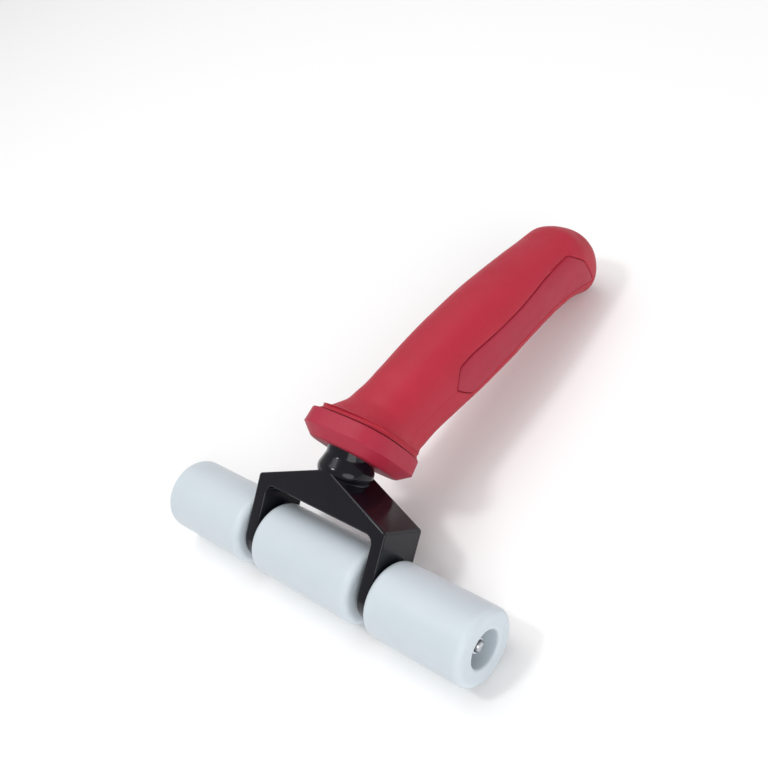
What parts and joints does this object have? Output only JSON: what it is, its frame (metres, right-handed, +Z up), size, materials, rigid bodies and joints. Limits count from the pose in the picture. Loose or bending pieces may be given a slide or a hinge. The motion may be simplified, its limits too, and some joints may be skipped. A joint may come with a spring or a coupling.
{
  "type": "seam roller",
  "caption": "Hand seam roller: plastic rollers in line on one axle, a gabled two-leg yoke and a leaning moulded grip handle with a guard.",
  "frame": {"origin": "on the bench under the middle of the axle, where the rollers bear", "axes": "+Z up from the bench, Y along the axle, -X back towards the butt of the handle, at rest on rollers and butt"},
  "size_m": [0.2094, 0.1642, 0.0659],
  "materials": {
    "roller_plastic": "satin",
    "bush_plastic": "plain",
    "zinc": "bright zinc plated",
    "black_gloss": "gloss black",
    "steel": "plain",
    "nylon_ring": "natural nylon",
    "hard_red": "satin",
    "soft_red": "matte",
    "spacer_plastic": "plain"
  },
  "bodies": {
    "frame": {"inner_spacer_left": "spacer_plastic", "inner_spacer_right": "spacer_plastic", "outer_spacer_left": "spacer_plastic", "outer_spacer_right": "spacer_plastic", "end_washer_left": "zinc", "end_washer_right": "zinc", "axle": "zinc", "lock_nut_left": "zinc", "lock_nut_right": "zinc", "nut_ring_left": "nylon_ring", "nut_ring_right": "nylon_ring", "yoke": "black_gloss", "tang": "steel", "tang_pin": "steel", "handle_core": "hard_red", "grip": "soft_red"},
    "left_roller": {"roller_left": "roller_plastic", "bush_left": "bush_plastic"},
    "middle_roller": {"roller_middle": "roller_plastic", "bush_middle": "bush_plastic"},
    "right_roller": {"roller_right": "roller_plastic", "bush_right": "bush_plastic"}
  },
  "joints": [
    {"name": "left_roller_spin", "type": "hinge", "parent": "frame", "child": "left_roller", "pos_m": [0, -0.0589, 0.01588], "axis": [0, 1, 0], "continuous": true},
    {"name": "middle_roller_spin", "type": "hinge", "parent": "frame", "child": "middle_roller", "pos_m": [0, 0, 0.01588], "axis": [0, 1, 0], "continuous": true},
    {"name": "right_roller_spin", "type": "hinge", "parent": "frame", "child": "right_roller", "pos_m": [0, 0.0589, 0.01588], "axis": [0, 1, 0], "continuous": true}
  ]
}
